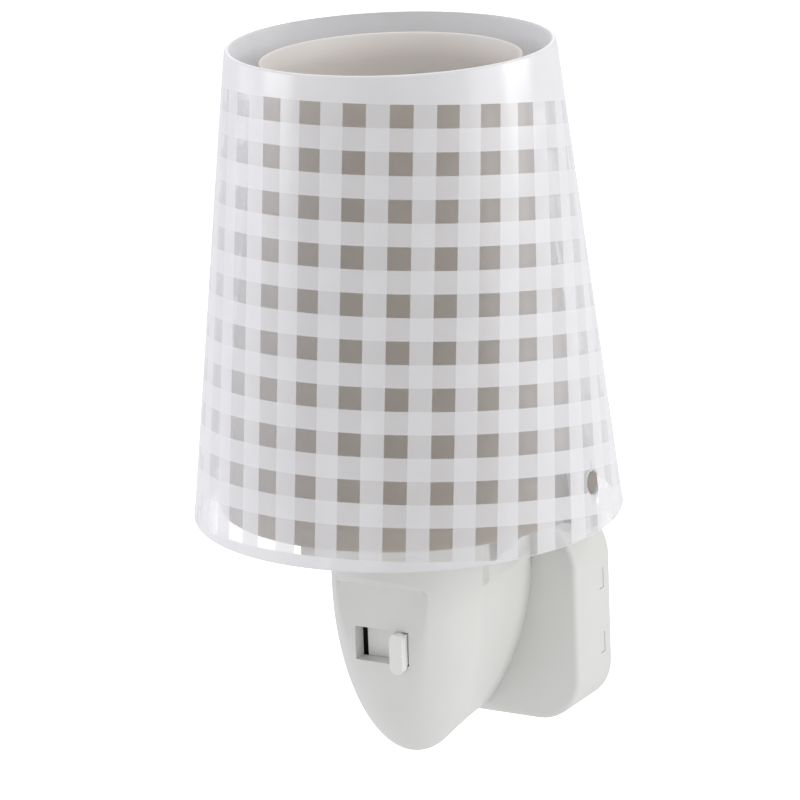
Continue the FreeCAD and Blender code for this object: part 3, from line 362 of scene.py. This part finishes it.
def printedShadeFinish():
    material, tree, shader = newMaterial("printedShade")
    place = addNode(tree, "ShaderNodeUVMap", uv_map="unrolled")
    split = addNode(tree, "ShaderNodeSeparateXYZ")
    tree.links.new(place.outputs["UV"], split.inputs["Vector"])
    across, along = split.outputs["X"], split.outputs["Y"]
    upright = stripes(tree, across, shade["columnShift"])
    level = stripes(tree, along, shade["rowShift"])
    # the lowest open row reaches down to the plain band
    aboveRow = mathNode(tree, "GREATER_THAN", along, shade["rowShift"])
    level = mathNode(tree, "MULTIPLY", level, aboveRow)
    lowBand = mathNode(tree, "LESS_THAN", along, shade["lowBand"])
    highBand = mathNode(tree, "GREATER_THAN", along, shade["highBand"])
    band = mathNode(tree, "ADD", lowBand, highBand)
    upright = mathNode(tree, "MAXIMUM", upright, band)
    level = mathNode(tree, "MAXIMUM", level, band)
    # one printed layer lets through a quarter and two a sixteenth
    ink = shade["stripeInk"]
    passOne = mathNode(tree, "SUBTRACT", 1.0, mathNode(tree, "MULTIPLY", upright, ink))
    passTwo = mathNode(tree, "SUBTRACT", 1.0, mathNode(tree, "MULTIPLY", level, ink))
    both = mathNode(tree, "MULTIPLY", passOne, passTwo)
    # painted reflection: the bare film is made more opaque the flatter it is looked at, so its milky colour
    # stands in for the shine of the clear film seen at a slant, together with the real haze of the longer
    # path through the film
    gloss = addNode(tree, "ShaderNodeLayerWeight")
    flatness = mathNode(tree, "POWER", gloss.outputs["Facing"], shade["glossCurve"])
    lost = mathNode(tree, "MULTIPLY", flatness, shade["sideGloss"])
    clear = mathNode(tree, "SUBTRACT", shade["bareFilm"], lost, clamp=True)
    # the ink lies on the outer face, and the inner face is bare
    side = addNode(tree, "ShaderNodeAttribute", attribute_name="insideFace")
    bare = mathNode(tree, "MAXIMUM", both, side.outputs["Fac"])
    through = mathNode(tree, "MULTIPLY", bare, clear)
    cloud = noise(tree, 120, 3)
    uneven = remap(tree, cloud, 0.97, 1.03)
    opaque = mathNode(tree, "SUBTRACT", 1.0, mathNode(tree, "MULTIPLY", through, uneven), clamp=True)
    tree.links.new(opaque, shader.inputs["Alpha"])
    milky = ramp(tree, cloud, 0.3, 0.7, (0.47, 0.465, 0.48), (0.50, 0.495, 0.51))
    tree.links.new(milky, shader.inputs["Base Color"])
    tree.links.new(remap(tree, cloud, 0.16, 0.24), shader.inputs["Roughness"])
    shader.inputs["Sheen Weight"].default_value = 1.0
    shader.inputs["Sheen Roughness"].default_value = 0.45
    shader.inputs["Sheen Tint"].default_value = (0.96, 0.96, 1.0, 1)
    # an even glow stands in for the light that has soaked into the milky film from all round
    shader.inputs["Emission Color"].default_value = (0.97, 0.97, 1.0, 1)
    shader.inputs["Emission Strength"].default_value = shade["glow"]
    bumpFrom(tree, shader, noise(tree, 900, 2), 0.08, 0.00005)
    shader.inputs["Specular IOR Level"].default_value = 0.5
    return material


def buildShade():
    bottom = axisPoint + Vector((0, 0, shade["base"] * mm))
    piece = lathe("printed_shade", shadeProfile(), bottom, shade["turns"])
    radius = shadeRadius(shade["nubHeight"])
    level = (shade["base"] + shade["nubHeight"]) * mm
    reach = shade["drillReach"]
    for side in (-1, 1):
        drill = rod("hole", (side * (radius - reach) * mm, axisPoint.y, level),
                    (side * (radius + reach) * mm, axisPoint.y, level), shade["holeRadius"] * mm)
        carve(piece, drill)
    for poly in piece.data.polygons:
        poly.use_smooth = True
    unrolledMap(piece)
    markInside(piece)
    finish(piece, printedShadeFinish())
    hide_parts("outer_shade")
    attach(piece, "shade")
    return piece


shadePiece = buildShade()


def rivetProfile():
    # half section of a domed head with a flat back: (distance from its own line, height over the film)
    size, tall, seat = shade["rivetRadius"] * mm, shade["rivetDome"] * mm, shade["rivetSeat"] * mm
    steps = 8
    points = [(0, -seat), (size * shade["rivetBack"], -seat)]
    for i in range(steps):
        turn = math.pi / 2 * i / steps
        points.append((size * math.cos(turn), tall * math.sin(turn) - seat / 2))
    points.append((0, tall - seat / 2))
    return points


def buildRivet(name, side, material):
    # a domed cap on the clip's nub in the shade's side hole, coloured dark taupe as painted shade for the
    # shadow inside the hole
    radius = shadeRadius(shade["nubHeight"]) * mm
    level = (shade["base"] + shade["nubHeight"]) * mm
    seat = shade["rivetSeat"] * mm
    profile = rivetProfile()
    turns = 32
    verts = []
    for i in range(turns):
        angle = 2 * math.pi * i / turns
        for reach, out in profile:
            verts.append((side * (radius + out - seat), axisPoint.y + reach * math.cos(angle),
                          level + reach * math.sin(angle)))
    count = len(profile)
    faces = []
    for i in range(turns):
        beside = (i + 1) % turns
        for j in range(count - 1):
            faces.append((i * count + j, beside * count + j, beside * count + j + 1, i * count + j + 1))
    piece = newMesh(name, verts, faces)
    work = bmesh.new()
    work.from_mesh(piece.data)
    bmesh.ops.remove_doubles(work, verts=work.verts, dist=0.001 * mm)
    bmesh.ops.recalc_face_normals(work, faces=work.faces)
    work.to_mesh(piece.data)
    work.free()
    finish(piece, material)
    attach(piece, "shade")


def buildRivets():
    # dark taupe: painted shade for the hole around the nub
    material = mouldedPlastic("rivetHoleShade", (0.30, 0.265, 0.24), 0.5)
    buildRivet("rivet_right", 1, material)
    buildRivet("rivet_left", -1, material)


buildRivets()
print("outer shade built")


# Liner: a thin frosted cone inside the shade

liner = {
    "base": 34.4,
    "height": 89.2,
    "lowRadius": 37.6,
    "highRadius": 26.1,
    "wall": 0.8,
    "rimCrown": 0.18,     # the rounded top edge stands this share of the wall higher
    "turns": 256,
    "wallSteps": 16,
}


def linerFinish():
    material, tree, shader = newMaterial("linerSheet")
    cloud = noise(tree, 40, 4)
    # one sheet in two tones: the outer face is painted darker, as painted shade for the dim gap between the
    # two walls, and the inner face paler, as painted light inside the cone
    outside = ramp(tree, cloud, 0.3, 0.7, (0.47, 0.425, 0.365), (0.505, 0.46, 0.40))
    inside = ramp(tree, cloud, 0.3, 0.7, (0.80, 0.76, 0.73), (0.84, 0.80, 0.77))
    side = addNode(tree, "ShaderNodeAttribute", attribute_name="insideFace")
    mixed = addNode(tree, "ShaderNodeMix", data_type="RGBA")
    tree.links.new(side.outputs["Fac"], mixed.inputs["Factor"])
    tree.links.new(outside, mixed.inputs["A"])
    tree.links.new(inside, mixed.inputs["B"])
    tree.links.new(mixed.outputs["Result"], shader.inputs["Base Color"])
    tree.links.new(remap(tree, cloud, 0.45, 0.55), shader.inputs["Roughness"])
    shader.inputs["Subsurface Weight"].default_value = 0.6
    shader.inputs["Subsurface Radius"].default_value = (1.0, 0.9, 0.85)
    shader.inputs["Subsurface Scale"].default_value = 0.002
    bumpFrom(tree, shader, noise(tree, 2200, 2), 0.1, 0.00003)
    return material


def buildLiner():
    low, high, wall, tall = (liner[key] * mm for key in ("lowRadius", "highRadius", "wall", "height"))
    steps = liner["wallSteps"]
    profile = [(low - (low - high) * i / steps, tall * i / steps) for i in range(steps + 1)]
    profile += [(high - wall * 0.5, tall + wall * liner["rimCrown"]), (high - wall, tall)]
    profile += [(low - wall - (low - high) * i / steps, tall * i / steps) for i in range(steps - 1, -1, -1)]
    bottom = axisPoint + Vector((0, 0, liner["base"] * mm))
    piece = lathe("liner_sheet", profile, bottom, liner["turns"])
    markInside(piece)
    finish(piece, linerFinish())
    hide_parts("shade_liner")
    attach(piece, "shade")


buildLiner()
print("liner built")


# Lamp body: the solid's own mesh, with the flat for the switch melting into the pod below

pod = {
    "radius": 16.1,
    "middle": 17.0,
    "drop": 36.5,
    "facetDepth": 13.0,
    "lintel": 18.5,
    "draft": 0.6,
    "lip": 0.2,           # rounding of the lintel's edge
    "sideBlend": 0.12,    # rounding of the flat's edge just under the lintel
    "lean": 0.9,          # the flat lies this much deeper at its top
    "lowBlend": 3.2,      # and at its foot
    "blendFoot": -7.0,
    "fineEdge": 0.8,      # edges of the front are cut down to this length
    "cutRounds": 5,
    "frontReach": 2.5,    # the cut part starts this far behind the flat
    "leastDepth": 5,      # only points this far before the axis are moved
    "overLintel": 3,
    "onFace": 0.06,       # and only those that lie this near to the crisp shape
    "sharpAngle": 28,
}


def softMin(first, second, reach):
    # the smaller of two values, with a rounded change-over that is reach wide
    gap = max(0.0, reach - abs(first - second)) / reach
    return min(first, second) - gap * gap * reach / 4


def podDepth(x, z):
    # how far the bare pod stands in front of the axis
    below = min(0.999, max(0.0, pod["middle"] - z) / pod["drop"])
    radius = pod["radius"] * math.sqrt(1 - below * below)
    return math.sqrt(max(0.0, radius * radius - x * x))


def facetDepth(x, z, soft):
    # the front with its flat and the lintel over it, crisp as in the solid or softened
    bare = podDepth(x, z)
    rise = max(0.0, z - pod["lintel"])
    flat = pod["facetDepth"] + rise / pod["draft"]
    if not soft:
        return min(bare, flat)
    flat -= pod["lean"] * min(1.0, max(0.0, z / pod["lintel"])) ** 2
    if rise > 0:
        return softMin(bare, flat, pod["lip"])
    share = min(1.0, max(0.0, (pod["lintel"] - z) / (pod["lintel"] - pod["blendFoot"])))
    return softMin(bare, flat, pod["sideBlend"] + (pod["lowBlend"] - pod["sideBlend"]) * share ** 1.5)


def buildPod():
    mesh = nodes["lamp_body"].data.copy()
    piece = bpy.data.objects.new("soft_lamp_body", mesh)
    scene.collection.objects.link(piece)
    work = bmesh.new()
    work.from_mesh(mesh)
    bmesh.ops.remove_doubles(work, verts=work.verts, dist=0.002 * mm)
    front = axisPoint.y - (pod["facetDepth"] - pod["frontReach"]) * mm
    for step in range(pod["cutRounds"]):
        long = [edge for edge in work.edges if edge.calc_length() > pod["fineEdge"] * mm
                and max(v.co.y for v in edge.verts) < front]
        if not long:
            break
        bmesh.ops.subdivide_edges(work, edges=long, cuts=1)
        bmesh.ops.triangulate(work, faces=work.faces)
    for vert in work.verts:
        x, z = vert.co.x / mm, vert.co.z / mm
        depth = (axisPoint.y - vert.co.y) / mm
        inReach = depth > pod["leastDepth"] and z < pod["lintel"] + pod["overLintel"]
        if inReach and abs(depth - facetDepth(x, z, False)) < pod["onFace"]:
            vert.co.y = axisPoint.y - facetDepth(x, z, True) * mm
    work.to_mesh(mesh)
    work.free()
    for poly in mesh.polygons:
        poly.use_smooth = True
    mesh.set_sharp_from_angle(angle=math.radians(pod["sharpAngle"]))
    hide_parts("lamp_body")
    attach(piece, "root")
    return piece


podPiece = buildPod()
print("lamp body built")


# Finishes for the moulded and metal pieces that keep their own shape

whitePlastic = mouldedPlastic("whitePlastic", (0.74, 0.74, 0.725), 0.42)
knobPlastic = mouldedPlastic("knobPlastic", (0.85, 0.85, 0.835), 0.3, bump=0.1)
holderPlastic = mouldedPlastic("holderPlastic", (0.82, 0.81, 0.77), 0.45)
casePlastic = mouldedPlastic("casePlastic", (0.03, 0.03, 0.032), 0.5)
sleevePlastic = mouldedPlastic("sleevePlastic", (0.78, 0.78, 0.76), 0.4)
nickel = metal("nickel", (0.72, 0.70, 0.67), 0.22, scratch=(1, 0.1, 1))
zinc = metal("zinc", (0.6, 0.61, 0.64), 0.35)
brass = metal("brass", (0.78, 0.58, 0.28), 0.3)
solder = metal("solder", (0.55, 0.55, 0.55), 0.45)
blackInsulator = mouldedPlastic("blackInsulator", (0.02, 0.02, 0.022), 0.15, bump=0.05, coat=0.5)
boardMask = mouldedPlastic("boardMask", (0.86, 0.87, 0.85), 0.35)
phosphor = mouldedPlastic("phosphor", (0.88, 0.72, 0.12), 0.4, mottle=0.05)
wireCover = mouldedPlastic("wireCover", (0.75, 0.75, 0.73), 0.4)


def globeFinish():
    material, tree, shader = newMaterial("frostedGlobe")
    cloud = noise(tree, 60, 3)
    milky = ramp(tree, cloud, 0.3, 0.7, (0.9, 0.9, 0.88), (0.95, 0.95, 0.94))
    tree.links.new(milky, shader.inputs["Base Color"])
    tree.links.new(remap(tree, cloud, 0.3, 0.4), shader.inputs["Roughness"])
    shader.inputs["Subsurface Weight"].default_value = 0.4
    shader.inputs["Subsurface Radius"].default_value = (0.004, 0.004, 0.004)
    bumpFrom(tree, shader, noise(tree, 1800, 2), 0.1, 0.00003)
    return material


finishes = {
    "lamp_body": whitePlastic, "housing_front": whitePlastic, "housing_rear": whitePlastic,
    "shade_carrier": whitePlastic, "bulb_neck": whitePlastic,
    "switch_knob": knobPlastic, "holder_body": holderPlastic, "switch_case": casePlastic,
    "pin_sleeve_left": sleevePlastic, "pin_sleeve_right": sleevePlastic,
    "pin_left": nickel, "pin_right": nickel, "bulb_screw_shell": nickel,
    "body_screws": zinc, "holder_screws": zinc, "switch_screws": zinc,
    "holder_screw_shell": brass, "holder_centre_contact": brass,
    "switch_terminal_left": brass, "switch_terminal_right": brass, "switch_bridge": brass,
    "bulb_tip_contact": solder, "bulb_insulator": blackInsulator,
    "bulb_circuit_board": boardMask, "bulb_leds": phosphor, "bulb_globe": globeFinish(),
    "wire_pin_to_switch": wireCover, "wire_pin_to_holder": wireCover, "wire_switch_to_holder": wireCover,
}
for name, material in finishes.items():
    finish(nodes[name], material)
finish(podPiece, whitePlastic)
print("finishes given")


# Floor, backdrop and light

studio = {
    "floorDrop": 0.16,
    "floorSize": 6.0,
    "floorTone": (0.9, 0.9, 0.9),
    "floorGlow": 0.8,    # the paper is lit from behind, as on a light table
    "skyGlow": 0.65,
}


def buildStudio():
    half = studio["floorSize"] / 2
    level = -studio["floorDrop"]
    corners = [(-half, -half, level), (half, -half, level), (half, half, level), (-half, half, level)]
    floor = newMesh("floor", corners, [(0, 1, 2, 3)], smooth=False)
    material, tree, shader = newMaterial("floorPaper")
    shader.inputs["Base Color"].default_value = (*studio["floorTone"], 1)
    shader.inputs["Roughness"].default_value = 0.9
    shader.inputs["Emission Color"].default_value = (1, 1, 1, 1)
    shader.inputs["Emission Strength"].default_value = studio["floorGlow"]
    finish(floor, material)
    # the glow whitens the paper alone and doesn't light the lamp from below
    onlyPaper = bpy.data.collections.new("paper")
    onlyPaper.objects.link(floor)
    floor.light_linking.receiver_collection = onlyPaper


# each light has its place in metres, its side in metres, its power in watts and its colour
softLights = {
    "keyFromRight": ((1.25, 0.2, 0.4), 0.9, 5.3, (1.0, 0.995, 0.98)),
    "fillFromLeft": ((-1.2, -0.35, 0.35), 0.9, 3.5, (0.89, 0.885, 1.0)),
    "bounceFromTable": ((0.0, -0.6, -0.12), 0.3, 0.25, (1, 1, 1)),
    "topSoft": ((0.1, -0.1, 1.3), 0.9, 2.5, (1, 1, 1)),
}
edgeLights = {
    "edgeRight": ((0.9, 0.55, 0.3), 0.5, 4.6, (1, 1, 1)),
    "edgeLeft": ((-0.9, -0.75, 0.3), 0.5, 3.8, (1, 1, 1)),
}
lampMiddle = Vector((0, -0.06, 0.06))


def areaLight(name, spot, size, power, colour):
    data = bpy.data.lights.new(name, "AREA")
    data.shape = "SQUARE"
    data.size = size
    data.energy = power
    data.color = colour
    lamp = bpy.data.objects.new(name, data)
    scene.collection.objects.link(lamp)
    lamp.location = spot
    lamp.rotation_euler = (lampMiddle - Vector(spot)).to_track_quat("-Z", "Y").to_euler()
    return lamp


def buildLights():
    world = bpy.data.worlds.new("studio")
    world.use_nodes = True
    sky = world.node_tree.nodes["Background"]
    sky.inputs["Color"].default_value = (1, 1, 1, 1)
    sky.inputs["Strength"].default_value = studio["skyGlow"]
    scene.world = world
    for name, given in softLights.items():
        areaLight(name, *given)
    # the two edge lights graze the printed film alone and whiten its sides
    onlyFilm = bpy.data.collections.new("film")
    onlyFilm.objects.link(shadePiece)
    for name, given in edgeLights.items():
        lamp = areaLight(name, *given)
        lamp.light_linking.receiver_collection = onlyFilm


buildStudio()
buildLights()
scene.view_settings.view_transform = "Standard"
print("studio lit")
